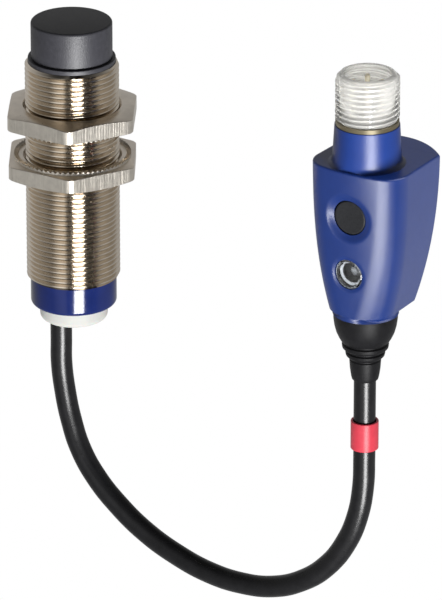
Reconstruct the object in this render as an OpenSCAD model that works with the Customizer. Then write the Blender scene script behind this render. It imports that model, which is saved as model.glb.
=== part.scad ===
// Cylindrical inductive proximity sensor, joined by a short captive cable to a remote
// teach unit with a plug-in nose.
// Origin: on the barrel axis, midway between the two nuts. +Z runs along the barrel
// towards the sensing face. The teach unit hangs beside the sensor, its nose up.

/* [Sensor barrel] */
// Major diameter of the barrel thread
barrel_d = 18; // [17.9:0.05:18]
// Pitch of the barrel thread
barrel_pitch = 1; // [1:0.25:1.5]
// Bore of the barrel
barrel_bore_d = 15.2; // [14.8:0.1:15.4]
// Height of the sensing face above the middle of the nut gap
face_z = 23.8; // [23.8:0.2:26]
// Height of the upper end of the thread
thread_top_z = 15.7; // [15.7:0.1:15.8]
// Length of the threaded barrel
barrel_len = 44.1; // [43:0.1:46]

/* [Front cap] */
// Diameter of the black sensing cap
cap_d = 15.6; // [15.2:0.1:16]
// Diameter of the cap's collar
collar_d = 16.8; // [16.4:0.1:17]
// Height of the collar
collar_h = 0.9; // [0.6:0.1:1]

/* [Rear end] */
// Diameter of the blue ring
ring_d = 16.6; // [16.2:0.1:17]
// Height of the blue ring
ring_h = 5.7; // [5:0.1:7]
// Diameter of the ivory end cap
rear_cap_d = 13.1; // [12.6:0.1:13.2]
// How far the end cap stands out of the ring
rear_cap_out = 3.3; // [2.6:0.1:4]
// How far the cable exit lies beside the axis
exit_offset = 2.5; // [2:0.1:2.6]

/* [Nuts] */
// Nut size across flats
nut_af = 24; // [24:0.5:25]
// Nut thickness, with the crown
nut_h = 4; // [3.6:0.1:4.2]
// Clear gap between the two nuts
nut_gap = 5.8; // [5.6:0.2:7]
// Turn of the front nut about the barrel
front_nut_turn = 2.5; // [0:0.5:30]
// Turn of the rear nut about the barrel
rear_nut_turn = 1; // [0:0.5:30]

/* [Cable] */
// Outer diameter of the cable
cable_d = 4.2; // [4:0.1:4.2]
// Outer diameter of the marker ring
marker_d = 5.3; // [5.2:0.1:6]
// Length of the marker ring
marker_len = 5.7; // [4:0.1:6]

/* [Teach unit] */
// Distance of the unit's axis from the barrel, to the side
unit_x = 55.5; // [55:0.5:58]
// Distance of the unit's axis from the barrel, to the front
unit_y = -41; // [-42:0.5:-40]
// Turn of the button face away from straight ahead
unit_turn = 32.5; // [20:0.5:45]
// Height of the housing's upper face
housing_top_z = 11.4; // [11.4:0.1:11.6]
// Height of the housing body
housing_h = 30.2; // [30:0.1:30.6]
// Wall thickness of the housing
wall = 1; // [0.9:0.05:1]
// Major diameter of the nose thread
nose_d = 12; // [11.9:0.05:12]
// Height of the rim of the nose
nose_top_z = 29.1; // [28.6:0.1:29.4]
// Diameter of the teach button
button_d = 6.6; // [6.4:0.1:6.6]
// Travel of the teach button
button_travel = 0.4; // [0.2:0.1:0.4]
// Diameter of the indicator window
lens_d = 5.8; // [5.4:0.1:5.8]

/* [Hidden] */
$fn = 72;

thread_bottom_z = thread_top_z - barrel_len;
ring_bottom_z = thread_bottom_z - ring_h;
rear_z = ring_bottom_z - rear_cap_out;     // lowest face of the sensor
barrel_bore_r = barrel_bore_d / 2;
cap_r = cap_d / 2;
cap_wall = 0.9;
cap_cavity_r = cap_r - cap_wall;
cap_base_z = thread_top_z + collar_h;      // top of the collar
cap_skirt = 5;                             // depth of the cap inside the barrel
rear_cap_r = rear_cap_d / 2;

core_top_z = face_z - 1.1;
core_h = 4.1;
core_r = 6.6;
core_slot_r = [2.9, 5.6];                  // inner and outer radius of the coil slot
core_slot_depth = 2.9;
board_t = 1;
board_w = 12.4;
board_top_z = 18;
board_bottom_z = -26.2;

nut_bore_r = barrel_d / 2 + 0.06;          // running clearance on the thread crests
nut_chamfer_r = 11.1;                      // where the corner chamfer starts
nut_chamfer_h = 0.72;                      // its height at the corners
crown_r = 10.5;                            // inner radius of the crown's rim
crown_depth = 0.5;

cable_r = cable_d / 2;
cable_hole_r = cable_r + 0.1;
jacket_in_sensor_z = -33;                  // end of the jacket inside the end cap
jacket_in_unit_z = -12;                    // end of the jacket inside the housing
core_wire_r = 0.4;
marker_top_z = -41;

housing_bottom_z = housing_top_z - housing_h;
neck_top_z = 19.1;
neck_r = [6.45, 6.15];                     // at the foot and at the mouth
neck_bore_r = 5.45;
nose_root_r = 5.4;
nose_bore_r = 4.35;
nose_thread_z = 20;                        // foot of the nose thread
carrier_top_z = 20.6;
carrier_bottom_z = 12.6;
pin_circle_r = 2.75;
pin_r = 0.5;
pin_tip_z = 27.8;
button_z = 2.2;
lens_z = -9.1;
unit_board_y = -0.5;                       // middle of the board, in the unit's own frame
boot_top_r = 6.1;
foot_r = 6.3;                              // round foot of the housing, where the boot sits

// Route of the cable: distance along the line from the sensor's exit to the unit's axis,
// and height. It runs straight out of both ends and sags between them.
cable_route = [
    [0, -37.4], [0, -42], [0, -47], [0.8, -52.9], [2.2, -58.7], [4.4, -64.3],
    [8.1, -69.4], [13.4, -74], [19.9, -78], [27.4, -80.9], [35.1, -82.6],
    [42.6, -82.8], [50.1, -81.5], [57, -78.3], [62.8, -73.5], [67, -67.6],
    [69.6, -61.3], [70.8, -54.9], [71, -48.5], [71, -41], [71, -32.6]
];

// ---------- shared helpers ----------

// Outline of a tube wall with ring-shaped ridges of a metric fine thread on its outside.
// The outline is in the plane of radius and height.
function thread_outline(z_low, z_high, r, pitch) =
    let (
        ridges = floor((z_high - z_low) / pitch),
        depth = 0.58 * pitch,
        crest = 0.125 * pitch,
        flank = 0.335 * pitch,
        margin = ((z_high - z_low) - ridges * pitch) / 2
    )
    concat(
        [[r - depth, z_high]],
        [for (i = [0:ridges - 1])
            let (z = z_high - margin - (i + 0.5) * pitch)
            each [
                [r - depth, z + crest + flank], [r, z + crest],
                [r, z - crest], [r - depth, z - crest - flank]
            ]],
        [[r - depth, z_low]]
    );

module ring(r_in, r_out, z_low, z_high) {
    translate([0, 0, z_low])
        difference() {
            cylinder(r = r_out, h = z_high - z_low);
            translate([0, 0, -1]) cylinder(r = r_in, h = z_high - z_low + 2);
        }
}

// Box from its lowest to its highest corner.
module block(low, high) {
    translate(low) cube(high - low);
}

module in_unit() {
    translate([unit_x, unit_y, 0]) rotate([0, 0, -unit_turn]) children();
}

// A round piece that points out of the button face at height z.
module on_face(z) {
    translate([0, 0, z]) rotate([90, 0, 0]) children();
}

// ---------- sensor ----------

module barrel() {
    color("#b9b1a4")
        rotate_extrude($fn = 96)
            polygon(concat(
                [[barrel_bore_r, thread_top_z]],
                thread_outline(thread_bottom_z, thread_top_z, barrel_d / 2, barrel_pitch),
                [[barrel_bore_r, thread_bottom_z]]
            ));
}

module sensing_cap() {
    edge = 0.4;
    groove = 0.25;
    color("#44444a")
        rotate_extrude($fn = 96)
            polygon(concat(
                [
                    [cap_cavity_r, thread_top_z - cap_skirt],
                    [barrel_bore_r - 0.1, thread_top_z - cap_skirt],
                    [barrel_bore_r - 0.1, thread_top_z], [collar_d / 2, thread_top_z],
                    [collar_d / 2, cap_base_z], [cap_r - groove, cap_base_z],
                    [cap_r - groove, cap_base_z + groove], [cap_r, cap_base_z + groove]
                ],
                [for (a = [0:15:90])
                    [cap_r - edge + edge * cos(a), face_z - edge + edge * sin(a)]],
                [[0, face_z], [0, face_z - cap_wall], [cap_cavity_r, face_z - cap_wall]]
            ));
}

module ferrite_core() {
    color("#3c3a38")
        difference() {
            translate([0, 0, core_top_z - core_h]) cylinder(r = core_r, h = core_h);
            ring(core_slot_r[0], core_slot_r[1], core_top_z - core_slot_depth, core_top_z + 1);
            translate([0, 0, core_top_z - core_h - 1]) cylinder(r = 1, h = core_h + 2);
        }
}

module coil_bobbin() {
    flange = 0.3;
    low = core_top_z - core_slot_depth + 0.1;
    high = core_top_z - 0.2;
    r_in = core_slot_r[0] + 0.1;
    r_out = core_slot_r[1] - 0.1;
    color("#e4e0d2")
        rotate_extrude()
            polygon([
                [r_in, low], [r_out, low], [r_out, low + flange], [r_in + flange, low + flange],
                [r_in + flange, high - flange], [r_out, high - flange], [r_out, high],
                [r_in, high]
            ]);
}

module coil_winding() {
    color("#b8682f")
        ring(core_slot_r[0] + 0.45, core_slot_r[1] - 0.25,
             core_top_z - core_slot_depth + 0.45, core_top_z - 0.55);
}

module core_carrier() {
    color("#202022")
        difference() {
            translate([0, 0, 17]) cylinder(r = core_r, h = core_top_z - core_h - 17);
            block([-board_w / 2 - 0.1, -board_t / 2 - 0.1, 16],
                  [board_w / 2 + 0.1, board_t / 2 + 0.1, board_top_z + 0.1]);
        }
}

module sensor_board() {
    color("#1f6b3a")
        block([-board_w / 2, -board_t / 2, board_bottom_z],
              [board_w / 2, board_t / 2, board_top_z]);
}

module sensor_board_parts() {
    front = -board_t / 2;
    color("#26262a") {
        block([-3, front - 1.4, 3], [3, front, 9]);
        block([-2.5, front - 1.2, -12], [2.5, front, -7]);
        for (z = [-4, -1, 12]) {
            block([-4.4, front - 0.8, z], [-2.4, front, z + 1.2]);
            block([2.4, front - 0.8, z], [4.4, front, z + 1.2]);
        }
        translate([0, -front, -4]) rotate([-90, 0, 0]) cylinder(r = 2.4, h = 3.6);
    }
}

module status_leds() {
    color("#f2e9b0")
        for (side = [-1, 1])
            for (x = [-1.4, 3.4])
                block([x - 0.8, side * 0.95 - 0.45, -24.6], [x + 0.8, side * 0.95 + 0.45, -23]);
}

module colour_ring() {
    edge = 0.8;
    spigot_r = barrel_bore_r - 0.1;
    spigot_z = thread_bottom_z + 3;
    r = ring_d / 2;
    r_in = rear_cap_r + 0.05;
    color("#1b2672")
        rotate_extrude($fn = 96)
            polygon(concat(
                [[r_in, spigot_z], [spigot_r, spigot_z], [spigot_r, thread_bottom_z],
                 [r, thread_bottom_z]],
                [for (a = [0:-15:-90])
                    [r - edge + edge * cos(a), ring_bottom_z + edge + edge * sin(a)]],
                [[r_in, ring_bottom_z]]
            ));
}

module rear_cap() {
    edge = 1.1;
    floor_z = rear_z + 2.4;
    top_z = thread_bottom_z + 2;
    color("#e8e6da")
        difference() {
            rotate_extrude($fn = 96)
                polygon(concat(
                    [[rear_cap_r - 1.2, top_z], [rear_cap_r, top_z]],
                    [for (a = [0:-15:-90])
                        [rear_cap_r - edge + edge * cos(a), rear_z + edge + edge * sin(a)]],
                    [[0, rear_z], [0, floor_z], [rear_cap_r - 1.2, floor_z]]
                ));
            translate([-exit_offset, 0, rear_z - 1]) cylinder(r = cable_hole_r, h = 4, $fn = 48);
        }
}

module cable_seal() {
    color("#2a2a2c")
        translate([-exit_offset, 0, 0])
            ring(cable_hole_r, 2.8, rear_z + 2.45, rear_z + 4);
}

module sensor_cable_cores() {
    side_y = board_t / 2 + core_wire_r + 0.05;
    color("#7a4a2a")
        for (i = [-1:1])
            translate([-exit_offset + i * 0.95, side_y, jacket_in_sensor_z])
                cylinder(r = core_wire_r, h = 7.6, $fn = 24);
}

// ---------- nuts ----------

// Hexagon nut with the raised rim of its crown towards +Z. Its middle is at the origin.
module nut() {
    half = nut_h / 2;
    corner_r = nut_af / 2 / cos(30);
    sink = 0.45;
    intersection() {
        translate([0, 0, -half]) cylinder(r = corner_r, h = nut_h, $fn = 6);
        rotate_extrude()
            polygon([
                [nut_bore_r, -half + sink], [nut_bore_r + sink, -half], [nut_chamfer_r, -half],
                [corner_r + 0.1, -half + nut_chamfer_h], [corner_r + 0.1, half - nut_chamfer_h],
                [nut_chamfer_r, half], [crown_r, half], [crown_r, half - crown_depth],
                [nut_bore_r + sink, half - crown_depth], [nut_bore_r, half - crown_depth - sink]
            ]);
    }
}

module front_nut() {
    color("#b6aea2")
        translate([0, 0, (nut_gap + nut_h) / 2])
            rotate([180, 0, 0]) rotate([0, 0, 30 + front_nut_turn]) nut();
}

module rear_nut() {
    color("#b6aea2")
        translate([0, 0, -(nut_gap + nut_h) / 2])
            rotate([0, 0, 30 - rear_nut_turn]) nut();
}

// ---------- cable ----------

// Unit vector from the sensor's exit towards the teach unit's axis, and the span.
cable_dir = [unit_x + exit_offset, unit_y] / norm([unit_x + exit_offset, unit_y]);
function on_route(p) = [-exit_offset + cable_dir[0] * p[0], cable_dir[1] * p[0], p[1]];
// The route with both ends carried on into the end cap and into the housing.
jacket_path = concat([[0, jacket_in_sensor_z]], cable_route, [[cable_route[20][0], jacket_in_unit_z]]);
function path_step(p, i) =
    let (a = p[max(i - 1, 0)], b = p[min(i + 1, len(p) - 1)]) (b - a) / norm(b - a);

module cable_jacket() {
    sides = 12;
    rings = len(jacket_path);
    across = [-cable_dir[1], cable_dir[0], 0];
    points = [for (i = [0:rings - 1])
        let (
            t = path_step(jacket_path, i),
            outward = [cable_dir[0] * t[1], cable_dir[1] * t[1], -t[0]]
        )
        for (k = [0:sides - 1])
            on_route(jacket_path[i])
                + cable_r * (cos(360 * k / sides) * outward + sin(360 * k / sides) * across)];
    color("#1c1c1e")
        polyhedron(points, loft_faces(rings, sides));
}

// Faces of a closed skin over a stack of rings, each with the same number of points.
function loft_faces(rings, sides) = concat(
    [[for (k = [0:sides - 1]) sides - 1 - k]],
    [for (i = [0:rings - 2])
        for (k = [0:sides - 1])
            let (a = i * sides + k, b = i * sides + (k + 1) % sides)
            each [[a, b, b + sides], [a, b + sides, a + sides]]],
    [[for (k = [0:sides - 1]) (rings - 1) * sides + k]]
);

module marker_ring() {
    color("#dc4a5c")
        translate([unit_x, unit_y, 0])
            ring(cable_r + 0.15, marker_d / 2, marker_top_z - marker_len, marker_top_z);
}

// ---------- teach unit ----------
// Its own frame has the button face towards -Y and its axis on Z.

// Measures of the housing's section at depth u: 0 at the upper face, 1 at the foot.
function half_width(u) = 10.3 - 4 * pow(u, 2.6);
function rear_half_width(u) = 9.7 - 3.75 * pow(u, 2.4);
function front_y(u) = -7.2 + 0.9 * u;
function front_bow(u) = 0.6 * (1 - u);
function rear_corner_y(u) = 10.1 - 3 * pow(u, 1.6);
function rear_y(u) = 14.9 - 5 * pow(u, 1.8);
function corner_r(u) = min(5.7, half_width(u) - 0.5);

// Right half of the section, from the middle of the front to the rear corner.
function front_half(u, inset) =
    let (
        w = half_width(u) - inset,
        r = corner_r(u) - inset,
        y = front_y(u) + inset,
        y_side = y + front_bow(u),
        y_corner = rear_corner_y(u),
        w_rear = rear_half_width(u) - inset
    )
    concat(
        [for (k = [0:3]) [(w - r) * k / 4, y + front_bow(u) * pow(k / 4, 2)]],
        [for (a = [90:-15:0]) [w - r + r * cos(a), y_side + r - r * sin(a)]],
        [for (k = [1:3]) [w + (w_rear - w) * k / 3, y_side + r + (y_corner - y_side - r) * k / 3]]
    );

function mirror_x(p) = [-p[0], p[1]];
function reversed(list) = [for (i = [len(list) - 1:-1:0]) list[i]];
// Closed section from its right half, the first point lying on the middle line.
function closed(half) = concat(half, reversed([for (i = [1:len(half) - 2]) mirror_x(half[i])]));

function shell_section(u, inset, rear_extra) =
    let (half = front_half(u, inset), corner = half[len(half) - 1])
    closed(concat(
        half,
        rear_extra > 0 ? [corner + [0, rear_extra]] : [],
        [[0, corner[1] + rear_extra]]
    ));

// The same number of points on the round foot.
function foot_section() =
    let (n = len(front_half(1, 0)) + 1)
    closed([for (k = [0:n - 1])
        let (a = -90 + 180 * k / (n - 1)) foot_r * [cos(a), sin(a)]]);

function cover_section(u, inset, front_extra) =
    let (
        w = rear_half_width(u) - inset,
        y0 = rear_corner_y(u) - front_extra,
        y1 = rear_y(u) - inset
    )
    closed(concat(
        [[0, y0], [w, y0]],
        front_extra > 0 ? [[w, rear_corner_y(u)]] : [],
        [for (k = [1:7])
            [w * (1 - k / 7), rear_corner_y(u) + (y1 - rear_corner_y(u)) * (1 - pow(1 - k / 7, 2))]]
    ));

module loft(sections, heights) {
    points = [for (i = [0:len(sections) - 1]) for (p = sections[i]) [p[0], p[1], heights[i]]];
    polyhedron(points, loft_faces(len(sections), len(sections[0])));
}

function depth_of(z) = (housing_top_z - z) / housing_h;
skin_steps = [0, 0.12, 0.24, 0.36, 0.48, 0.58, 0.68, 0.77, 0.84, 0.9, 0.95];
cavity_top_z = housing_top_z - wall;
cavity_bottom_z = housing_bottom_z + wall;
cavity_steps = [for (k = [0:8])
    depth_of(cavity_top_z + (cavity_bottom_z - cavity_top_z) * k / 8)];
function height_of(u) = housing_top_z - housing_h * u;

module connector_housing() {
    plug_hole_r = 4.6;
    dish = 0.35;
    color("#2f4392")
        in_unit()
            difference() {
                union() {
                    loft(concat([for (u = skin_steps) shell_section(u, 0, 0)], [foot_section()]),
                         concat([for (u = skin_steps) height_of(u)], [housing_bottom_z]));
                    translate([0, 0, housing_top_z - 0.6])
                        cylinder(r1 = neck_r[0], r2 = neck_r[1], h = neck_top_z - housing_top_z + 0.6);
                }
                loft([for (u = cavity_steps) shell_section(u, wall, 1.5)],
                     [for (u = cavity_steps) height_of(u)]);
                translate([0, 0, cavity_top_z - 1])
                    cylinder(r = neck_bore_r, h = neck_top_z - cavity_top_z + 2);
                translate([0, 0, housing_bottom_z - 1]) cylinder(r = plug_hole_r, h = 4);
                on_face(button_z) cylinder(r = button_d / 2 + 0.15, h = 9, $fn = 48);
                on_face(button_z) translate([0, 0, 6.05 - dish])
                    cylinder(r1 = button_d / 2 + 0.15, r2 = button_d / 2 + 3, h = 1.4, $fn = 48);
                on_face(lens_z) cylinder(r = lens_d / 2 + 0.05, h = 9, $fn = 48);
            }
}

module housing_back_cover() {
    color("#2c3f8c")
        in_unit()
            difference() {
                loft([for (u = skin_steps) cover_section(u, 0, 0)],
                     [for (u = skin_steps) height_of(u)]);
                // straight-sided hollow, between the cover's two end walls
                loft([cover_section(0.1, wall, 1.5), cover_section(0.9, wall, 1.5)],
                     [height_of(0) - wall, height_of(0.95) + wall]);
            }
}

module strain_relief_boot() {
    z = housing_bottom_z;
    tip_z = -32.6;
    color("#222224")
        translate([unit_x, unit_y, 0])
            rotate_extrude()
                polygon([
                    [cable_hole_r, z + 3.3], [4.5, z + 3.3], [4.5, z], [boot_top_r, z],
                    [5.95, z - 1.8], [5.6, z - 3.6], [5.1, z - 5], [4.65, z - 6.1],
                    [4.4, z - 6.2], [4.4, z - 6.7], [4, z - 7.6], [3.7, z - 7.7], [3.7, z - 8.4],
                    [3.3, z - 9.3], [2.95, z - 9.4], [2.85, z - 11], [2.65, z - 12.9],
                    [2.5, tip_z + 0.3], [cable_hole_r, tip_z]
                ]);
}

module cable_clamp() {
    low = housing_bottom_z + 3.4;
    color("#d8d4c8")
        in_unit()
            difference() {
                block([-4.4, -3.2, low], [4.4, 3.2, low + 2.8]);
                translate([0, 0, low - 1]) cylinder(r = cable_hole_r, h = 5);
            }
}

module connector_cable_cores() {
    color("#7a4a2a")
        in_unit()
            for (i = [-1:1])
                translate([i * 0.95, core_wire_r + 0.05, jacket_in_unit_z])
                    cylinder(r = core_wire_r, h = 6, $fn = 24);
}

module nose_shell() {
    rim = 0.7;
    color("#e6e8e6", 0.5)
        translate([unit_x, unit_y, 0])
            rotate_extrude($fn = 96)
                polygon(concat(
                    [[nose_bore_r, nose_top_z], [nose_root_r - 0.2, nose_top_z]],
                    thread_outline(nose_thread_z, nose_top_z - rim, nose_d / 2, 1),
                    [[nose_root_r, nose_thread_z], [nose_root_r, carrier_bottom_z],
                     [nose_bore_r, carrier_bottom_z]]
                ));
}

module nose_seat_ring() {
    color("#8c7a50")
        translate([unit_x, unit_y, 0])
            ring(nose_root_r + 0.05, 5.95, neck_top_z, nose_thread_z - 0.1);
}

// The four pin places, on the axes of the whole part.
module at_pins() {
    translate([unit_x, unit_y, 0])
        for (a = [0:90:270])
            rotate([0, 0, a]) translate([pin_circle_r, 0, 0]) children();
}

module contact_carrier() {
    color("#3a3a3c")
        difference() {
            translate([unit_x, unit_y, carrier_bottom_z])
                cylinder(r = nose_bore_r - 0.05, h = carrier_top_z - carrier_bottom_z);
            at_pins() translate([0, 0, carrier_bottom_z - 1])
                cylinder(r = pin_r + 0.02, h = 10, $fn = 24);
        }
}

module contact_pins() {
    tip = 0.25;
    color("#c9a24a")
        at_pins()
            rotate_extrude($fn = 24)
                polygon([
                    [0, 9.6], [pin_r, 9.6], [pin_r, pin_tip_z - tip], [pin_r - tip, pin_tip_z],
                    [0, pin_tip_z]
                ]);
}

module connector_board() {
    color("#1f6b3a")
        in_unit()
            block([-6.5, unit_board_y - board_t / 2, -11.5], [6.5, unit_board_y + board_t / 2, 9.5]);
}

module connector_board_parts() {
    color("#26262a")
        in_unit() {
            block([-2.5, 0, 1], [2.5, 1.4, 6]);
            block([-4.8, 0, -3.4], [-3, 0.8, -2.2]);
            block([3, 0, -3.4], [4.8, 0.8, -2.2]);
            block([4.2, -1.8, -9.4], [5.8, -1, -7.8]);
        }
}

module switch_body() {
    color("#2b2b2d")
        in_unit()
            difference() {
                block([-3, -3, button_z - 3], [3, -1, button_z + 3]);
                on_face(button_z) translate([0, 0, 1.8]) cylinder(r = 1.8, h = 4, $fn = 32);
            }
}

module switch_plunger() {
    color("#8a8a8c")
        in_unit() on_face(button_z) translate([0, 0, 2.5]) cylinder(r = 1.65, h = 1.5, $fn = 32);
}

module button_cap() {
    flange_z = [4, 4.6];
    face = 6.1;
    edge = 0.15;
    color("#3a383a")
        in_unit()
            on_face(button_z)
                rotate_extrude($fn = 48)
                    polygon([
                        [0, flange_z[0]], [3.9, flange_z[0]], [3.9, flange_z[1]],
                        [button_d / 2, flange_z[1]], [button_d / 2, face - edge],
                        [button_d / 2 - edge, face], [0, face]
                    ]);
}

module led_lens() {
    color("#dfe6ea", 0.5)
        in_unit()
            on_face(lens_z)
                rotate_extrude($fn = 48)
                    polygon([
                        [0, 4], [3.4, 4], [3.4, 4.5], [lens_d / 2, 4.5], [lens_d / 2, 6.1],
                        [lens_d / 2 - 0.2, 6.3], [0, 6.3]
                    ]);
}

module teach_led() {
    color("#d8d6c6")
        in_unit()
            on_face(lens_z)
                translate([0, 0, 1]) cylinder(r = 1.5, h = 2.6, $fn = 32);
}

barrel();
sensing_cap();
ferrite_core();
coil_bobbin();
coil_winding();
core_carrier();
sensor_board();
sensor_board_parts();
status_leds();
colour_ring();
rear_cap();
cable_seal();
sensor_cable_cores();
front_nut();
rear_nut();
cable_jacket();
marker_ring();
strain_relief_boot();
cable_clamp();
connector_cable_cores();
connector_housing();
housing_back_cover();
nose_shell();
nose_seat_ring();
contact_carrier();
contact_pins();
connector_board();
connector_board_parts();
switch_body();
switch_plunger();
button_cap();
led_lens();
teach_led();
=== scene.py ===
import math

import bmesh
import bpy
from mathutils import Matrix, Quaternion, Vector

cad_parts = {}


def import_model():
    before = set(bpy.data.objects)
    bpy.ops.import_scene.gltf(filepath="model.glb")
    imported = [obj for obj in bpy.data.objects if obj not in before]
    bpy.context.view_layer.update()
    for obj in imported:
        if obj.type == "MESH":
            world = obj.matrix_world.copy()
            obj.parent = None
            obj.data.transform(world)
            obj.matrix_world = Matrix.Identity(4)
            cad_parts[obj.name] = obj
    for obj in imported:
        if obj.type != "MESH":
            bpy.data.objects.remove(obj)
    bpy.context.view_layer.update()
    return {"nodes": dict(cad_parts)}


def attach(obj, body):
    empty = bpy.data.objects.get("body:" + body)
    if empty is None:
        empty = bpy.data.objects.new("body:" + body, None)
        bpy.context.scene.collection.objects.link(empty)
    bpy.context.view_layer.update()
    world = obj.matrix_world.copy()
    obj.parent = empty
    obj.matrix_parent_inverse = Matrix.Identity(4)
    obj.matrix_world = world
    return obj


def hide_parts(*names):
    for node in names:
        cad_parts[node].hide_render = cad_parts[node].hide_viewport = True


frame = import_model()
scene = bpy.context.scene
MM = 0.001                                   # a millimetre, in metres
MM_PER_M = 1000
MERGE = 2e-7                                 # points closer than this are one, in metres
UNIT = (55.5, -41.0)                         # the teach unit's axis in the part's frame, in mm
TURN = math.radians(-32.5)                   # how far the teach unit is turned about it

# ---------------------------------------------------------------- camera

camera_data = bpy.data.cameras.new("camera")
camera_data.sensor_fit = "VERTICAL"
camera_data.sensor_height = 24
camera_data.lens = 275.84
camera_data.clip_start = 0.05
camera_data.clip_end = 200
camera = bpy.data.objects.new("camera", camera_data)
camera.location = (0.02844, -1.226619, 0.489248)
camera.rotation_euler = (math.radians(66.899), 0, 0)
scene.collection.objects.link(camera)
scene.camera = camera
scene.view_settings.view_transform = "Standard"
scene.view_settings.look = "None"

# ---------------------------------------------------------------- materials


def link(tree, a, b):
    tree.links.new(a, b)


def scaled_coordinates(tree, stretch):
    """Object coordinates in millimetres, stretched along each axis."""
    where = tree.nodes.new("ShaderNodeTexCoord")
    mapping = tree.nodes.new("ShaderNodeMapping")
    mapping.inputs["Scale"].default_value = [MM_PER_M * s for s in stretch]
    link(tree, where.outputs["Object"], mapping.inputs["Vector"])
    return mapping.outputs["Vector"]


def noise(tree, vector, scale, detail=4):
    n = tree.nodes.new("ShaderNodeTexNoise")
    n.inputs["Scale"].default_value = scale
    n.inputs["Detail"].default_value = detail
    n.inputs["Roughness"].default_value = 0.55
    link(tree, vector, n.inputs["Vector"])
    return n.outputs["Fac"]


def ramp(tree, factor, stops):
    r = tree.nodes.new("ShaderNodeValToRGB")
    els = r.color_ramp.elements
    while len(els) < len(stops):
        els.new(0.5)
    for e, (pos, colour) in zip(els, stops):
        e.position = pos
        e.color = (*colour, 1)
    link(tree, factor, r.inputs["Fac"])
    return r.outputs["Color"]


def ranged(tree, factor, low, high):
    m = tree.nodes.new("ShaderNodeMapRange")
    m.inputs["To Min"].default_value = low
    m.inputs["To Max"].default_value = high
    link(tree, factor, m.inputs["Value"])
    return m.outputs["Result"]


def radial_vector(tree, centre):
    """A vector whose first part is the distance from a vertical axis, in millimetres."""
    where = tree.nodes.new("ShaderNodeTexCoord")
    shift = tree.nodes.new("ShaderNodeVectorMath")
    shift.operation = "SUBTRACT"
    shift.inputs[1].default_value = (centre[0] * MM, centre[1] * MM, 0)
    flat = tree.nodes.new("ShaderNodeVectorMath")
    flat.operation = "MULTIPLY"
    flat.inputs[1].default_value = (1, 1, 0)
    length = tree.nodes.new("ShaderNodeVectorMath")
    length.operation = "LENGTH"
    mm = tree.nodes.new("ShaderNodeMath")
    mm.operation = "MULTIPLY"
    mm.inputs[1].default_value = MM_PER_M
    out = tree.nodes.new("ShaderNodeCombineXYZ")
    link(tree, where.outputs["Object"], shift.inputs[0])
    link(tree, shift.outputs["Vector"], flat.inputs[0])
    link(tree, flat.outputs["Vector"], length.inputs[0])
    link(tree, length.outputs["Value"], mm.inputs[0])
    link(tree, mm.outputs["Value"], out.inputs["X"])
    return out.outputs["Vector"]


def material(name, colour, rough, metallic=0.0, vary=0.08, vary_scale=0.35, rough_vary=0.05,
             bump=0.02, bump_scale=4.0, stretch=(1, 1, 1), radial=None, transmission=0.0,
             ior=1.5, coat=0.0, coat_rough=0.1, specular=0.5, subsurface=0.0):
    """A surface whose colour, roughness and fine relief all come from noise in object space.

    The relief's height is bump, in mm. It is stretched along the axes, or follows rings round
    the vertical axis through radial, as turned metal does.
    """
    m = bpy.data.materials.new(name)
    m.use_nodes = True
    tree = m.node_tree
    shader = tree.nodes["Principled BSDF"]
    place = scaled_coordinates(tree, (1, 1, 1))
    tone = noise(tree, place, vary_scale, 5)
    dark = [c * (1 - vary) for c in colour]
    light = [min(1.0, c * (1 + vary)) for c in colour]
    link(tree, ramp(tree, tone, [(0.3, dark), (0.7, light)]), shader.inputs["Base Color"])
    link(tree, ranged(tree, noise(tree, place, vary_scale * 3),
                      max(0.0, rough - rough_vary), min(1.0, rough + rough_vary)),
         shader.inputs["Roughness"])
    grain_place = radial_vector(tree, radial) if radial else scaled_coordinates(tree, stretch)
    grain = noise(tree, grain_place, bump_scale)
    relief = tree.nodes.new("ShaderNodeBump")
    relief.inputs["Strength"].default_value = 1.0
    relief.inputs["Distance"].default_value = bump * MM
    link(tree, grain, relief.inputs["Height"])
    link(tree, relief.outputs["Normal"], shader.inputs["Normal"])
    shader.inputs["Metallic"].default_value = metallic
    shader.inputs["IOR"].default_value = ior
    shader.inputs["Transmission Weight"].default_value = transmission
    shader.inputs["Coat Weight"].default_value = coat
    shader.inputs["Coat Roughness"].default_value = coat_rough
    shader.inputs["Specular IOR Level"].default_value = specular
    shader.inputs["Subsurface Weight"].default_value = subsurface
    shader.inputs["Subsurface Scale"].default_value = 2 * MM
    return m


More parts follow.
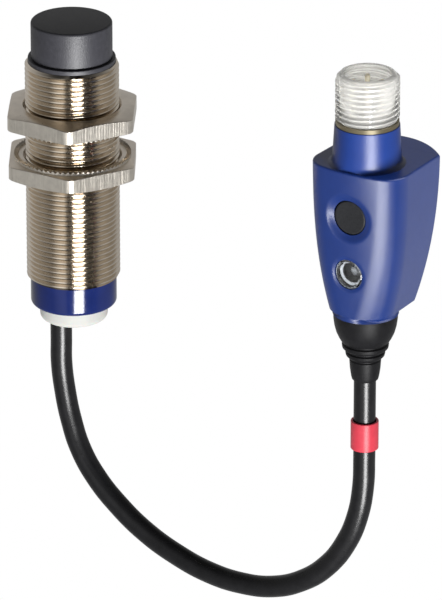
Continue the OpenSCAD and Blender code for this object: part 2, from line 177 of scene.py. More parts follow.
mats = {
    "nickel": material("nickel_thread", (0.72, 0.64, 0.535), 0.13, 1.0, vary=0.06,
                       vary_scale=0.5, rough_vary=0.06, bump=0.004, bump_scale=6,
                       stretch=(0.3, 0.3, 3)),
    # Painted shade: a far darker nickel for the thread root faces, standing in for the shadow deep
    # in the thread grooves.
    "nickel_root_painted_shade": material("nickel_thread_root_painted_shade", (0.15, 0.128, 0.102), 0.14, 1.0, vary=0.1,
                            vary_scale=0.5, bump=0.004, bump_scale=6, stretch=(0.3, 0.3, 3)),
    "nut_flat": material("nickel_drawn", (0.73, 0.685, 0.605), 0.4, 1.0, vary=0.1, vary_scale=0.7,
                         rough_vary=0.1, bump=0.06, bump_scale=2.2, stretch=(1.4, 1.4, 0.06)),
    "nut_face": material("nickel_turned", (0.66, 0.595, 0.51), 0.3, 1.0, vary=0.08,
                         vary_scale=0.4, rough_vary=0.06, bump=0.012, bump_scale=6,
                         radial=(0, 0)),
    "cap_black": material("cap_black_grained", (0.021, 0.021, 0.025), 0.42, vary=0.14,
                          vary_scale=1.2, bump=0.042, bump_scale=5, specular=0.22),
    "ring_blue": material("ring_blue_polished", (0.0045, 0.009, 0.05), 0.14, vary=0.1,
                          vary_scale=0.3, bump=0.003, bump_scale=2, coat=0.1, coat_rough=0.05,
                          specular=0.2),
    "ivory": material("end_cap_ivory", (0.71, 0.715, 0.68), 0.6, vary=0.03, vary_scale=0.4,
                      bump=0.006, bump_scale=3, subsurface=0.1, specular=0.15),
    "cable": material("cable_jacket_black", (0.005, 0.005, 0.0055), 0.3, vary=0.2,
                      vary_scale=0.5, bump=0.012, bump_scale=3, rough_vary=0.08, specular=0.22),
    "marker": material("marker_red", (0.78, 0.055, 0.09), 0.38, vary=0.07, vary_scale=0.6,
                       bump=0.01, bump_scale=5),
    "boot": material("boot_rubber_matt", (0.009, 0.009, 0.0105), 0.46, vary=0.3, specular=0.24,
                     vary_scale=0.8, bump=0.03, bump_scale=6),
    "housing": material("housing_blue_satin", (0.004, 0.0165, 0.095), 0.34, vary=0.05,
                        vary_scale=0.35, bump=0.018, bump_scale=5, rough_vary=0.04,
                        specular=0.36),
    "clear": material("nose_clear", (0.975, 0.97, 0.94), 0.2, vary=0.02, vary_scale=0.4,
                      bump=0.006, bump_scale=1.5, transmission=0.74, ior=1.49),
    "seat": material("seat_metal_turned", (0.2, 0.17, 0.105), 0.4, 0.5, bump=0.01,
                     bump_scale=5, radial=UNIT),
    "carrier": material("carrier_grey", (0.045, 0.04, 0.034), 0.4, bump=0.02, bump_scale=5),
    "gold": material("pin_gold", (0.9, 0.83, 0.66), 0.4, 0.25, vary=0.05, bump=0.004,
                     bump_scale=6),
    "button": material("button_grained", (0.02, 0.021, 0.024), 0.5, vary=0.25, specular=0.4,
                       vary_scale=2.5, bump=0.05, bump_scale=4),
    "lens": material("lens_clear", (0.95, 0.97, 0.98), 0.03, vary=0.01, bump=0.003,
                     bump_scale=1, transmission=1.0, ior=1.5),
    "reflector": material("reflector_silver", (0.72, 0.74, 0.78), 0.25, 1.0, bump=0.02,
                          bump_scale=1.2),
    "led": material("led_epoxy", (0.34, 0.35, 0.37), 0.2, 0.8, vary=0.3, vary_scale=1.5,
                    bump=0.01, bump_scale=2, coat=0.6),
    "ferrite": material("ferrite_sintered", (0.05, 0.048, 0.045), 0.7, bump=0.03, bump_scale=6),
    "natural": material("natural_plastic", (0.76, 0.73, 0.64), 0.45, bump=0.01, bump_scale=4),
    "copper": material("copper_enamelled", (0.72, 0.33, 0.16), 0.3, 0.9, bump=0.06,
                       bump_scale=8, stretch=(0.2, 0.2, 1)),
    "black": material("black_moulded", (0.02, 0.02, 0.022), 0.45, bump=0.01, bump_scale=4),
    "board": material("board_solder_mask", (0.02, 0.16, 0.06), 0.3, vary=0.15, vary_scale=0.8,
                      bump=0.01, bump_scale=3),
    "board_dark": material("board_black_mask", (0.014, 0.016, 0.02), 0.3, vary=0.15,
                           vary_scale=0.8, bump=0.01, bump_scale=3),
    "chip": material("chip_moulded", (0.02, 0.02, 0.022), 0.5, bump=0.02, bump_scale=8),
    "wire": material("wire_insulation", (0.25, 0.1, 0.04), 0.35, bump=0.005, bump_scale=4),
    "grey": material("grey_moulded", (0.3, 0.3, 0.3), 0.45, bump=0.01, bump_scale=4),
    "led_pale": material("led_pale", (0.75, 0.72, 0.5), 0.2, bump=0.004, bump_scale=2,
                         transmission=0.4),
}

# ---------------------------------------------------------------- mesh helpers


def world(p):
    """Millimetres to metres."""
    return (p[0] * MM, p[1] * MM, p[2] * MM)


def in_unit(p):
    """From the teach unit's own frame, button face towards -Y, to the part's frame, in mm."""
    c, s = math.cos(TURN), math.sin(TURN)
    return (UNIT[0] + c * p[0] - s * p[1], UNIT[1] + s * p[0] + c * p[1], p[2])


def on_face(z):
    """Places a lathe along the outward normal of the button face, centred at height z."""
    return lambda p: in_unit((p[0], -p[2], z + p[1]))


def at(x, y):
    """Places a lathe on the vertical axis through x, y."""
    return lambda p: (p[0] + x, p[1] + y, p[2])


def shade(me, angle):
    me.polygons.foreach_set("use_smooth", [True] * len(me.polygons))
    me.set_sharp_from_angle(angle=math.radians(angle))


def finish_mesh(name, verts, faces, materials, body, angle=32, pick=None):
    """A clean smooth-shaded object that rides a body; pick gives each face its material."""
    me = bpy.data.meshes.new(name)
    me.from_pydata([world(v) for v in verts], [], faces)
    bm = bmesh.new()
    bm.from_mesh(me)
    bmesh.ops.remove_doubles(bm, verts=bm.verts, dist=MERGE)
    bmesh.ops.dissolve_degenerate(bm, edges=bm.edges, dist=MERGE)
    bmesh.ops.recalc_face_normals(bm, faces=bm.faces)
    bm.to_mesh(me)
    bm.free()
    o = bpy.data.objects.new(name, me)
    scene.collection.objects.link(o)
    for m in materials:
        me.materials.append(m)
    shade(me, angle)
    if pick:
        for p in me.polygons:
            p.material_index = pick(p)
    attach(o, body)
    return o


def rounded(profile, steps=5):
    """A closed outline with each corner that gives a third number rounded to that radius."""
    out = []
    for i, p in enumerate(profile):
        here = Vector(p[:2])
        if len(p) < 3:
            out.append(tuple(here))
            continue
        a = Vector(profile[i - 1][:2]) - here
        b = Vector(profile[(i + 1) % len(profile)][:2]) - here
        half = a.angle(b) / 2
        cut = min(p[2] / math.tan(half), a.length * 0.5, b.length * 0.5)
        r = cut * math.tan(half)
        a.normalize()
        b.normalize()
        centre = here + (a + b).normalized() * (r / math.sin(half))
        v0 = here + a * cut - centre
        v1 = here + b * cut - centre
        a0 = math.atan2(v0.y, v0.x)
        turn = (math.atan2(v1.y, v1.x) - a0 + math.pi) % (2 * math.pi) - math.pi
        for k in range(steps + 1):
            t = a0 + turn * k / steps
            out.append((centre.x + r * math.cos(t), centre.y + r * math.sin(t)))
    return out


def lathe_data(profile, place=lambda p: p, seg=128, steps=5, limit=None):
    """Vertices and faces of a closed outline of (radius, height) turned about its axis."""
    outline = rounded(profile, steps)
    n = len(outline)
    verts = []
    for i in range(seg):
        t = 2 * math.pi * i / seg
        for r, z in outline:
            if limit:
                r = limit(t, r, z)
            verts.append(place((r * math.cos(t), r * math.sin(t), z)))
    faces = [(i * n + k, i * n + (k + 1) % n, ((i + 1) % seg) * n + (k + 1) % n,
              ((i + 1) % seg) * n + k)
             for i in range(seg) for k in range(n)]
    return verts, faces


def lathe(name, profile, mat, body, place=lambda p: p, seg=128, steps=5, angle=32):
    verts, faces = lathe_data(profile, place, seg, steps)
    return finish_mesh(name, verts, faces, [mats[mat]], body, angle)


def boolean(o, cutters, operation="DIFFERENCE"):
    """Cuts or joins closed meshes and keeps the result as the object's own mesh."""
    for verts, faces in cutters:
        me = bpy.data.meshes.new("cutter")
        me.from_pydata([world(v) for v in verts], [], faces)
        bm = bmesh.new()
        bm.from_mesh(me)
        bmesh.ops.remove_doubles(bm, verts=bm.verts, dist=MERGE)
        bmesh.ops.recalc_face_normals(bm, faces=bm.faces)
        bm.to_mesh(me)
        bm.free()
        cutter = bpy.data.objects.new("cutter", me)
        scene.collection.objects.link(cutter)
        mod = o.modifiers.new("cut", "BOOLEAN")
        mod.operation = operation
        mod.solver = "EXACT"
        mod.object = cutter
        bpy.context.view_layer.update()
        done = bpy.data.meshes.new_from_object(
            o.evaluated_get(bpy.context.evaluated_depsgraph_get()))
        o.modifiers.clear()
        old = o.data
        o.data = done
        bpy.data.meshes.remove(old)
        bpy.data.objects.remove(cutter)
        bpy.data.meshes.remove(me)


def rod(r, z0, z1, place):
    """A plain cylinder, used as a cutter."""
    return lathe_data([(0, z0), (r, z0), (r, z1), (0, z1)], place, 96)


# ---------------------------------------------------------------- cable

CABLE_X = -2.5                               # where the cable leaves the sensor
REACH = (58, -41)                            # from there to the teach unit's axis, in plan
SPAN = math.hypot(*REACH)
ROUTE = [                                    # distance along that line, and height
    (0, -36.2), (0, -37.4), (0, -42), (0, -47), (0.8, -52.9), (2.2, -58.7), (4.4, -64.3),
    (8.1, -69.4), (13.4, -74), (19.9, -78), (27.4, -80.9), (35.1, -82.6), (42.6, -82.8),
    (50.1, -81.5), (57, -78.3), (62.8, -73.5), (67, -67.6), (69.6, -61.3), (70.8, -54.9),
    (71, -48.5), (71, -41), (71, -32.6), (71, -30.5),
]
curve = bpy.data.curves.new("cable", "CURVE")
curve.dimensions = "3D"
curve.resolution_u = 10
curve.bevel_depth = 2.1 * MM
curve.bevel_resolution = 8
curve.use_fill_caps = True
spline = curve.splines.new("BEZIER")
spline.bezier_points.add(len(ROUTE) - 1)
for point, (s, z) in zip(spline.bezier_points, ROUTE):
    point.co = world((CABLE_X + REACH[0] / SPAN * s, REACH[1] / SPAN * s, z))
    point.handle_left_type = point.handle_right_type = "AUTO"
cable = bpy.data.objects.new("cable", curve)
scene.collection.objects.link(cable)
curve.materials.append(mats["cable"])
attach(cable, "root")
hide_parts("cable_jacket")

marker = lathe("cable_marker", [
    (2.2, -46.7, 0.1), (2.65, -46.7, 0.16), (2.65, -41, 0.16), (2.2, -41, 0.1)],
    "marker", "marker", at(*UNIT), 96)
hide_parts("marker_ring")

# ---------------------------------------------------------------- threads


def helical_tube(crest, depth, pitch, z0, z1, bore, place, seg=144):
    """A tube with a real helical thread cut on its outside, run out into end chamfers."""
    flank = 0.335 * pitch                                        # axial length of one flank
    top = 0.125 * pitch                                          # half the flat on the crest
    blunt, swell = 0.03, 0.012                                   # softened edges of that flat
    chamfer, lip = 0.5, 0.08                                     # length, and start over the root
    marks = [
        (-top, crest), (-top + blunt, crest + swell), (top - blunt, crest + swell), (top, crest),
        (top + flank * 0.5, crest - depth * 0.5), (top + flank, crest - depth),
        (pitch - top - flank, crest - depth),
        (pitch - top - flank * 0.5, crest - depth * 0.5),
    ]
    spans = list(zip(marks, marks[1:] + [(pitch - top, crest)]))

    def radius(z, t):
        u = (z - z0 - pitch * t / (2 * math.pi) + top) % pitch - top
        for (u0, r0), (u1, r1) in spans:
            if u <= u1 + 1e-9:
                r = r0 + (r1 - r0) * max(0.0, u - u0) / max(1e-9, u1 - u0)
                break
        edge = crest - depth + lip
        return min(r, edge + (z - z0) / chamfer * depth, edge + (z1 - z) / chamfer * depth)

    turns = int((z1 - z0) / pitch) + 2
    verts, rows = [], []
    levels = [k * pitch + u for k in range(-2, turns) for u, _ in marks]
    for level in levels:
        if level + pitch < -1e-6 or level > z1 - z0 + 1e-6:
            continue
        row = []
        for i in range(seg + 1):
            t = 2 * math.pi * i / seg
            z = min(z1, max(z0, z0 + level + pitch * i / seg))
            r = radius(z, t if i < seg else 0.0)
            row.append(len(verts))
            verts.append(place((r * math.cos(t), r * math.sin(t), z)))
        rows.append(row)
    for z in (z1, z0):
        row = []
        for i in range(seg + 1):
            t = 2 * math.pi * i / seg
            row.append(len(verts))
            verts.append(place((bore * math.cos(t), bore * math.sin(t), z)))
        rows.append(row)
    faces = [(a[i], a[i + 1], b[i + 1], b[i])
             for a, b in zip(rows, rows[1:] + rows[:1]) for i in range(seg)]
    return verts, faces


# Faces of the barrel inside this radius take the darker root nickel, which is painted shade in the
# grooves.
ROOT_R = 8.5                                 # faces of the barrel inside this are thread root


verts, faces = helical_tube(9.0, 0.62, 1.0, -28.4, 15.7, 7.6, lambda p: p)
barrel = finish_mesh("barrel_threaded", verts, faces, [mats["nickel"], mats["nickel_root_painted_shade"]],
                     "root", 28,
                     pick=lambda p: 1 if math.hypot(*p.center[:2]) < ROOT_R * MM else 0)
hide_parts("barrel")

# ---------------------------------------------------------------- nuts


def nut_data(place):
    """A hexagon nut with rounded corners and a crown of small teeth towards +Z."""
    half, flat, rho = 2.0, 12, 1.8           # half height, half across flats, corner radius
    bore, sink = 9.06, 0.45                  # clearance over the thread, and its countersink
    inner, back, crown = 10.4, 11.1, 11.3    # radii of the crown's inside, back face and crown
    root, bite = 0.52, 0.46                  # how far the face lies below the tips, tooth depth
    corner = (flat - rho) / math.cos(math.pi / 6)
    seg = 432
    verts = []
    for i in range(seg):
        t = 2 * math.pi * i / seg
        d = (t + math.pi / 6) % (math.pi / 3) - math.pi / 6      # from the nearest flat's normal
        edge = flat / math.cos(d)
        delta = math.pi / 6 - abs(d)                             # from the nearest corner
        if delta < math.atan(rho * 0.5 / (corner + rho * math.cos(math.pi / 6))):
            edge = corner * math.cos(delta) + math.sqrt(
                rho ** 2 - (corner * math.sin(delta)) ** 2)
        drop = 0.72 * (edge - back) / 2.756                      # chamfers, deepest at a corner
        low = 0.58 + 0.14 * (edge - crown) / 2.556
        tooth = abs((i % 6) / 3 - 1)                             # 1 in a valley, 0 on a tip
        dip = bite * tooth
        ring = [
            (bore, -half + sink), (bore + sink, -half), (inner, -half), (back, -half),
            (edge - 0.1, -half + drop - 0.03), (edge, -half + drop + 0.06),
            (edge, half - low - 0.09), (edge - 0.1, half - low), (crown, half - 0.58),
            (11.22, half - dip * 0.9), (10.45, half - dip), (inner, half - root),
            (bore + sink, half - root), (bore, half - root - sink),
        ]
        rings = len(ring)
        verts += [place((r * math.cos(t), r * math.sin(t), z)) for r, z in ring]
    faces = [(i * rings + k, i * rings + (k + 1) % rings,
              ((i + 1) % seg) * rings + (k + 1) % rings, ((i + 1) % seg) * rings + k)
             for i in range(seg) for k in range(rings)]
    return verts, faces


def nut_place(z, turn, flip):
    """Places a nut at height z, turned about the barrel; flip points its crown downwards."""
    a = math.radians(turn)

    def place(p):
        x = p[0] * math.cos(a) - p[1] * math.sin(a)
        y = p[0] * math.sin(a) + p[1] * math.cos(a)
        return (x, -y, z - p[2]) if flip else (x, y, z + p[2])
    return place


for name, z, turn, flip in (("front_nut", 4.9, 2.5, True), ("rear_nut", -4.9, -1, False)):
    verts, faces = nut_data(nut_place(z, turn, flip))
    nut = finish_mesh(name + "_crowned", verts, faces, [mats["nut_flat"], mats["nut_face"]], name,
                      25, pick=lambda p: 1 if abs(p.normal.z) > 0.35 else 0)
    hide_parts(name)

# ---------------------------------------------------------------- sensor ends

cap = lathe("sensing_cap_moulded", [
    (6.9, 10.7), (7.5, 10.7), (7.5, 15.7), (8.4, 15.7, 0.08), (8.4, 16.6, 0.15), (7.55, 16.6, 0.1),
    (7.55, 16.85), (7.8, 16.85, 0.08), (7.8, 23.8, 0.45), (0, 23.8), (0, 22.9), (6.9, 22.9)],
    "cap_black", "root", seg=160, steps=6)
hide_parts("sensing_cap")

ring = lathe("colour_ring_polished", [
    (6.62, -25.4), (7.5, -25.4), (7.5, -28.4), (8.3, -28.4, 0.12), (8.3, -34.1, 0.85),
    (6.62, -34.1, 0.08)], "ring_blue", "root", seg=160, steps=8)
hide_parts("colour_ring")

end_cap = lathe("rear_cap_moulded", [
    (5.35, -26.4), (6.55, -26.4), (6.55, -37.4, 1.2), (0, -37.4), (0, -35), (5.35, -35)],
    "ivory", "root", seg=160, steps=9)
boolean(end_cap, [
    rod(2.2, -38.4, -33, at(CABLE_X, 0)),
    lathe_data([(0, -38), (2.8, -38), (2.2, -37.15), (0, -37.15)], at(CABLE_X, 0), 96),
])
shade(end_cap.data, 32)
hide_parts("rear_cap")

# ---------------------------------------------------------------- teach unit: shapes

TOP_Z, HEIGHT, WALL, FOOT_R = 11.4, 30.2, 1.0, 6.25
BUTTON_Z, LENS_Z = 2.2, -9.1
EDGE, BREAK = 0.35, 0.15                     # radius of the upper rim, and a last step inside it
BASE = 0.965                                 # depth at which the foot begins to close in

# The outline of the unit at depth u, from 0 at the upper face to 1 at the foot, in mm.


def half_width(u):
    return 9.95 - 3.75 * u ** 2.6


def rear_half_width(u):
    return 9.7 - 3.75 * u ** 2.4


def front_y(u):
    return -7.2 + 0.9 * u


def rear_corner_y(u):
    return 10.1 - 3 * u ** 1.6


def rear_y(u):
    return 14.9 - 5 * u ** 1.8


def half_section(u, inset, t):
    """Right half of the section at depth u, followed from the front (t=0) to the rear corner."""
    w = half_width(u) - inset
    r = min(5 + 0.5 * u, half_width(u) - 0.4) - inset
    bow = 0.7 * (1 - u)
    y = front_y(u) + inset
    lean = math.atan(2 * bow / (w - r + 0.25 * r))               # where the bow meets the corner
    x_end = w - r + r * math.sin(lean)
    y_centre = y + x_end * math.tan(lean) / 2 + r * math.cos(lean)
    if t <= 4:
        return (x_end * t / 4, y + x_end * math.tan(lean) / 2 * (t / 4) ** 2)
    if t <= 10:
        a = (math.pi / 2 - lean) * (1 - (t - 4) / 6)
        return (w - r + r * math.cos(a), y_centre - r * math.sin(a))
    if t <= 13:
        k = (t - 10) / 3
        w_rear = rear_half_width(u) - inset
        return (w + (w_rear - w) * k, y_centre + (rear_corner_y(u) - y_centre) * k)
    return ((rear_half_width(u) - inset) * (14 - t), rear_corner_y(u))


# Stations along a half section: 0 to 4 front, 4 to 10 corner, 10 to 13 side, 13 to 14 rear.
FINE = ([4 * k / 16 for k in range(16)] + [4 + 6 * k / 22 for k in range(22)]
        + [10 + 3 * k / 12 for k in range(12)] + [13, 13.5, 14])
COARSE = [0, 1.3, 2.6, 4, 5, 6, 7, 8, 9, 10, 11.5, 13, 14]


def loop_of(half):
    """Both halves of a section as one closed loop."""
    return half + [(-x, y) for x, y in reversed(half[1:-1])]


def stack(sections, heights, place):
    """Closed solid through level loops of equal length."""
    n = len(sections[0])
    verts = [place((x, y, z)) for s, z in zip(sections, heights) for x, y in s]
    faces = [tuple(reversed(range(n)))]
    for i in range(len(sections) - 1):
        faces += [(i * n + k, i * n + (k + 1) % n, (i + 1) * n + (k + 1) % n, (i + 1) * n + k)
                  for k in range(n)]
    faces.append(tuple((len(sections) - 1) * n + k for k in range(n)))
    return verts, faces


def foot_point(t):
    """The point of the round foot that station t runs down to."""
    a = math.radians(-90 + 180 * t / 14)
    return (FOOT_R * math.cos(a), FOOT_R * math.sin(a))


def smooth(x):
    """An eased step from 0 to 1."""
    x = min(1.0, max(0.0, x))
    return x * x * (3 - 2 * x)


def dished(p):
    """The concave seat moulded round the button, and a faint one round the window."""
    x, y, z = p
    if y < 0:
        for centre, depth, radius, slope in ((BUTTON_Z, 0.85, 5.0, 1.9), (LENS_Z, 0.22, 3.6, 0.7)):
            y += depth * smooth((radius - math.hypot(x, z - centre)) / slope)
    return in_unit((x, y, z))


def housing_data():
    """The shell's outside: a rolled upper rim, the tapering sides, then the round foot."""
    rows, foot_rows = 104, 8
    sections, heights = [loop_of([half_section(0, EDGE + BREAK, t) for t in FINE])], [TOP_Z]
    for k in range(5):
        a = math.pi / 2 * k / 4
        sections.append(loop_of([half_section(0, EDGE * (1 - math.sin(a)), t) for t in FINE]))
        heights.append(TOP_Z - EDGE * (1 - math.cos(a)))
    for k in range(1, rows + 1):
        u = (EDGE + (HEIGHT * BASE - EDGE) * k / rows) / HEIGHT
        sections.append(loop_of([half_section(u, 0, t) for t in FINE]))
        heights.append(TOP_Z - HEIGHT * u)
    last = [half_section(BASE, 0, t) for t in FINE]
    for k in range(1, foot_rows + 1):
        f = k / foot_rows
        sections.append(loop_of([
            (x + (foot_point(t)[0] - x) * f, y + (foot_point(t)[1] - y) * f)
            for (x, y), t in zip(last, FINE)]))
        heights.append(TOP_Z - HEIGHT * (BASE + (1 - BASE) * f))
    return stack(sections, heights, dished)


verts, faces = housing_data()
housing = finish_mesh("housing_shell", verts, faces, [mats["housing"]], "root")


def outline_limit(t, r, z):
    """Keeps the neck's foot fillet inside the upper face."""
    if z > TOP_Z + 0.9 or math.sin(t) > -0.5:
        return r
    return min(r, max(6.3, 6.5 / -math.sin(t)))


verts, faces = lathe_data([
    (5.45, TOP_Z - 0.4), (7.3, TOP_Z - 0.4), (7.3, TOP_Z + 0.01), (6.95, TOP_Z + 0.1),
    (6.72, TOP_Z + 0.3), (6.55, TOP_Z + 0.65), (6.48, TOP_Z + 1.0), (6.1, 19.1, 0.15),
    (5.45, 19.1, 0.1)],
    in_unit, 144, limit=outline_limit)
neck = finish_mesh("housing_neck", verts, faces, [mats["housing"]], "root", 40)

def cavity_section(u):
    """The section one wall in, carried back through the rear face."""
    half = [half_section(u, WALL, t) for t in COARSE if t <= 13]
    x, y = half[-1]
    return loop_of(half + [(x, y + 1.5), (0, y + 1.5)])


cavity_u = [(WALL + (HEIGHT * 0.93 - WALL) * k / 30) / HEIGHT for k in range(31)]
cavity = stack([cavity_section(u) for u in cavity_u], [TOP_Z - HEIGHT * u for u in cavity_u],
               in_unit)
boolean(housing, [
    cavity,
    rod(5.45, 9.4, 21.1, in_unit),
    rod(4.6, -20, -15.5, in_unit),
    rod(3.45, 0, 9, on_face(BUTTON_Z)),
    rod(2.95, 0, 9, on_face(LENS_Z)),
])
shade(housing.data, 30)
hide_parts("connector_housing")


def cover_section(u, inset, front_extra):
    """The bowed back cover's section, which clears the housing by a small gap."""
    n, gap = 24, 0.02
    w = rear_half_width(u) - inset
    y0 = rear_corner_y(u)
    y1 = rear_y(u) - inset
    half = [(0, y0 + gap - front_extra), (w - gap, y0 + gap - front_extra), (w, y0 + 2 * gap)]
    for k in range(1, n + 1):
        f = 1 - k / n
        half.append((w * f, y0 + 2 * gap + (y1 - y0 - 2 * gap) * (1 - f * f)))
    return loop_of(half)


def cover_data():
    """The cover's outside, rolled over at the top and chamfered at the foot."""
    rows = 60
    sections = [cover_section(0, inset, 0) for inset in (EDGE + BREAK, EDGE, EDGE * 0.3, 0)]
    heights = [TOP_Z, TOP_Z, TOP_Z - 0.1, TOP_Z - EDGE]
    for k in range(1, rows + 1):
        u = (EDGE + (HEIGHT * BASE - EDGE - 0.3) * k / rows) / HEIGHT
        sections.append(cover_section(u, 0, 0))
        heights.append(TOP_Z - HEIGHT * u)
    sections += [cover_section(BASE - 0.004, 0.1, 0), cover_section(BASE, 0.3, 0)]
    heights += [TOP_Z - HEIGHT * (BASE - 0.004), TOP_Z - HEIGHT * BASE]
    return stack(sections, heights, in_unit)


verts, faces = cover_data()
cover = finish_mesh("back_cover_moulded", verts, faces, [mats["housing"]], "root")
hollow = stack([cover_section(0.1, WALL, 1.5), cover_section(0.9, WALL, 1.5)],
               [TOP_Z - WALL, TOP_Z - HEIGHT * 0.95 + WALL], in_unit)
boolean(cover, [hollow])
shade(cover.data, 30)
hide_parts("housing_back_cover")

# ---------------------------------------------------------------- teach unit: pieces

FOOT_Z = TOP_Z - HEIGHT
boot = lathe("boot_ribbed", [
    (2.2, FOOT_Z + 3.3), (4.5, FOOT_Z + 3.3), (4.5, FOOT_Z), (6.1, FOOT_Z, 0.12),
    (6.05, FOOT_Z - 1.2), (5.85, FOOT_Z - 2.6), (5.5, FOOT_Z - 3.9), (5.0, FOOT_Z - 5.0),
    (4.55, FOOT_Z - 5.75, 0.3), (4.1, FOOT_Z - 5.95, 0.12), (4.1, FOOT_Z - 6.2, 0.12),
    (4.45, FOOT_Z - 6.4, 0.15), (4.35, FOOT_Z - 7.1, 0.25), (3.9, FOOT_Z - 7.5, 0.2),
    (3.45, FOOT_Z - 7.65, 0.12), (3.45, FOOT_Z - 7.9, 0.12), (3.78, FOOT_Z - 8.1, 0.15),
    (3.65, FOOT_Z - 8.7, 0.25), (3.2, FOOT_Z - 9.15, 0.2), (2.8, FOOT_Z - 9.3, 0.1),
    (2.8, FOOT_Z - 9.5, 0.1), (3.0, FOOT_Z - 9.7, 0.12), (2.88, FOOT_Z - 11.4),
    (2.66, FOOT_Z - 12.9), (2.5, -32.35, 0.12), (2.2, -32.6, 0.06)],
    "boot", "root", at(*UNIT), 128, steps=4, angle=50)
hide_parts("strain_relief_boot")

button = lathe("teach_button", [
    (0, 4.0), (3.9, 4.0), (3.9, 4.6, 0.08), (3.3, 4.6), (3.3, 6.1, 0.3), (2.6, 6.02), (1.4, 5.96),
    (0, 5.95)], "button", "button", on_face(BUTTON_Z), 96, steps=5, angle=38)
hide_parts("button_cap")

lens = lathe("indicator_window", [
    (0, 4.0), (3.4, 4.0), (3.4, 4.5, 0.08), (2.88, 4.5), (2.88, 6.05, 0.15), (2.55, 6.3, 0.1),
    (2.2, 6.12, 0.1), (1.6, 6.02), (0.8, 6.1), (0, 6.14)],
    "lens", "root", on_face(LENS_Z), 96, steps=4, angle=50)
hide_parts("led_lens")

led = lathe("teach_led_bulb", [
    (0, 1.0), (1.5, 1.0), (1.5, 1.5), (1.25, 1.5), (1.25, 2.6), (1.1, 3.1), (0.75, 3.45),
    (0.35, 3.6), (0, 3.62)], "led", "root", on_face(LENS_Z), 64, angle=50)
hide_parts("teach_led")

lathe("window_reflector", [
    (2.42, 3.5), (2.86, 3.9), (2.86, 3.97), (2.36, 3.58)],
    "reflector", "root", on_face(LENS_Z), 24, angle=10)

verts, faces = helical_tube(6.0, 0.58, 1.0, 20.0, 28.6, 4.35, at(*UNIT), seg=120)
nose = finish_mesh("nose_threaded", verts, faces, [mats["clear"]], "root", 35)
rim = lathe_data([(4.35, 28.3), (5.4, 28.3), (5.4, 28.45, 0.3), (5.2, 29.1, 0.4),
                  (4.35, 29.1, 0.3)], at(*UNIT), 120)
boolean(nose, [rim, lathe_data([(4.35, 12.6), (5.4, 12.6), (5.4, 20.2), (4.35, 20.2)],
                               at(*UNIT), 120)], "UNION")
shade(nose.data, 35)
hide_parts("nose_shell")

# ---------------------------------------------------------------- CAD nodes that stay

FINISH = {
    "ferrite_core": "ferrite", "coil_bobbin": "natural", "coil_winding": "copper",
    "core_carrier": "black", "sensor_board": "board", "sensor_board_parts": "chip",
    "status_leds": "led_pale", "cable_seal": "boot", "sensor_cable_cores": "wire",
    "cable_clamp": "natural", "connector_cable_cores": "wire", "nose_seat_ring": "seat",
    "contact_carrier": "carrier", "contact_pins": "gold", "connector_board": "board_dark",
    "connector_board_parts": "chip", "switch_body": "chip", "switch_plunger": "grey",
}
for node, finish in FINISH.items():
    o = frame["nodes"][node]
    if not o.data.materials:
        o.data.materials.append(mats[finish])
    for s in o.material_slots:
        s.material = mats[finish]

# ---------------------------------------------------------------- light


def build_world():
    """Surroundings by direction: a bright card front left, dark ones ahead and front right."""
    w = bpy.data.worlds.new("studio")
    scene.world = w
    w.use_nodes = True
    tree = w.node_tree
    back = tree.nodes["Background"]
    where = tree.nodes.new("ShaderNodeTexCoord")
    parts = tree.nodes.new("ShaderNodeSeparateXYZ")
    link(tree, where.outputs["Generated"], parts.inputs["Vector"])

    def calc(op, *values):
        n = tree.nodes.new("ShaderNodeMath")
        n.operation = op
        for i, v in enumerate(values):
            if isinstance(v, (int, float)):
                n.inputs[i].default_value = v
            else:
                link(tree, v, n.inputs[i])
        return n.outputs["Value"]

    azimuth = calc("ARCTAN2", parts.outputs["X"], calc("MULTIPLY", parts.outputs["Y"], -1))
    turn = calc("MULTIPLY_ADD", azimuth, 1 / (2 * math.pi), 0.5)
    level = calc("MULTIPLY_ADD", calc("ARCSINE", parts.outputs["Z"]), 1 / math.pi, 0.5)

    def by(factor, stops, span, offset):
        """A grey level for each of some angles, in degrees, and a blend between them."""
        return ramp(tree, factor, [((a + offset) / span, (v, v, v)) for a, v in stops])

    around = by(turn, [
        (-180, 0.54), (-128, 0.56), (-87, 0.38), (-57, 0.28), (-42, 0.85), (-30, 1.08),
        (-21, 0.95), (-15, 0.10), (-3, 0.06), (2, 0.3), (28, 0.3), (32, 0.02), (58, 0.03),
        (72, 0.42), (82, 0.5), (115, 0.38), (180, 0.54)], 360, 180)
    height = by(level, [(-90, 0.4), (-60, 0.7), (-30, 1), (0, 0.9), (30, 0.85), (50, 0.4),
                        (65, 0.12), (90, 0.1)], 180, 90)
    link(tree, calc("MULTIPLY", around, height), back.inputs["Strength"])
    back.inputs["Color"].default_value = (1, 1, 1, 1)


build_world()


LIGHT_DISTANCE = 2.5
LIGHT_TARGET = (0.028, -0.02, -0.03)


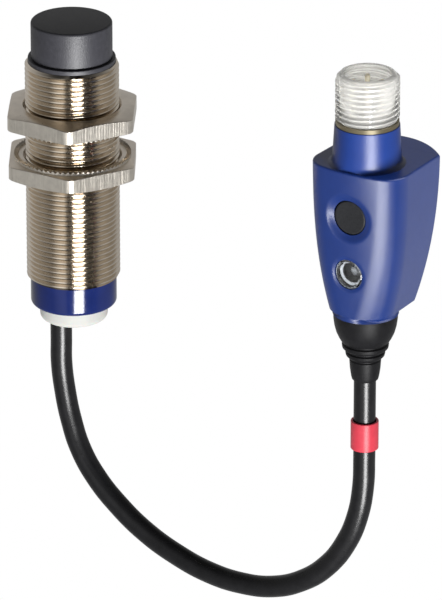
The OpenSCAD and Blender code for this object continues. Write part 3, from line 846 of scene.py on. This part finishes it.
def softbox(name, azimuth, elevation, wide, tall, radiance, only=(), never=(), tilt=0):
    """A far rectangular softbox that spans the given angles, in degrees, from the object.

    Azimuth 0 is straight ahead of the sensor, and grows to the right. The light falls on the
    pieces in only, or on all but those in never.
    """
    data = bpy.data.lights.new(name, "AREA")
    data.shape = "RECTANGLE"
    data.size = 2 * LIGHT_DISTANCE * math.tan(math.radians(wide / 2))
    data.size_y = 2 * LIGHT_DISTANCE * math.tan(math.radians(tall / 2))
    data.energy = radiance * math.pi * data.size * data.size_y
    o = bpy.data.objects.new(name, data)
    a, e = math.radians(azimuth), math.radians(elevation)
    aim = Vector((math.sin(a) * math.cos(e), -math.cos(a) * math.cos(e), math.sin(e)))
    o.location = Vector(LIGHT_TARGET) + aim * LIGHT_DISTANCE
    o.rotation_euler = (aim.to_track_quat("Z", "Y")
                        @ Quaternion((0, 0, 1), math.radians(tilt))).to_euler()
    o.visible_camera = False
    scene.collection.objects.link(o)
    chosen = only or never
    if chosen:
        group = bpy.data.collections.new(name + "_receivers")
        for piece in chosen:
            group.objects.link(piece)
        if never:
            for entry in group.collection_objects:
                entry.light_linking.link_state = "EXCLUDE"
        o.light_linking.receiver_collection = group


dark = [cap, cable, ring]
shell = [housing, cover]
softbox("key_softbox", 14.5, -24, 23, 30, 16.0, never=[*shell, neck, nose, *dark])
softbox("dark_softbox", 14.5, -24, 24, 30, 54.0, only=dark)
softbox("neck_softbox", 13, -24, 26, 30, 64.0, only=[neck])
softbox("housing_softbox", -15, -23.8, 50, 14, 31.0, only=shell, tilt=-17)
softbox("housing_low", 30, -37, 28, 9, 11.0, only=shell, tilt=-17)
softbox("housing_fill", 62, 32, 60, 50, 5.5, only=shell)
softbox("housing_side", 96, -20, 72, 50, 0.7, only=shell)
softbox("nose_softbox", 0, -15, 90, 60, 1.2, only=[nose])
softbox("nose_strip", 12, -20, 15, 64, 24.0, only=[nose])


def backdrop_material():
    m = bpy.data.materials.new("backdrop_white")
    m.use_nodes = True
    tree = m.node_tree
    tree.nodes.remove(tree.nodes["Principled BSDF"])
    glow = tree.nodes.new("ShaderNodeEmission")
    glow.inputs["Color"].default_value = (1, 1, 1, 1)
    glow.inputs["Strength"].default_value = 1.0
    link(tree, glow.outputs["Emission"], tree.nodes["Material Output"].inputs["Surface"])
    return m


def seamless_backdrop():
    """A floor disc that rises into a dome, so that every direction ends on the same white."""
    floor = -0.36
    profile = [(0, floor), (2.4, floor), (3.8, -0.2), (4.5, 0.8), (4.3, 2.4), (3, 3.9), (0, 4.5)]
    seg, verts, faces = 48, [], []
    for i in range(seg):
        t = 2 * math.pi * i / seg
        verts += [(r * math.cos(t), r * math.sin(t), z) for r, z in profile]
    n = len(profile)
    for i in range(seg):
        for k in range(n - 1):
            faces.append((i * n + k, i * n + k + 1, ((i + 1) % seg) * n + k + 1,
                          ((i + 1) % seg) * n + k))
    me = bpy.data.meshes.new("backdrop")
    me.from_pydata(verts, [], faces)
    bm = bmesh.new()
    bm.from_mesh(me)
    bmesh.ops.remove_doubles(bm, verts=bm.verts, dist=1e-5)
    bm.to_mesh(me)
    bm.free()
    o = bpy.data.objects.new("backdrop", me)
    scene.collection.objects.link(o)
    me.materials.append(backdrop_material())
    o.visible_diffuse = False
    o.visible_glossy = False
    o.visible_shadow = False
    o.visible_volume_scatter = False


seamless_backdrop()
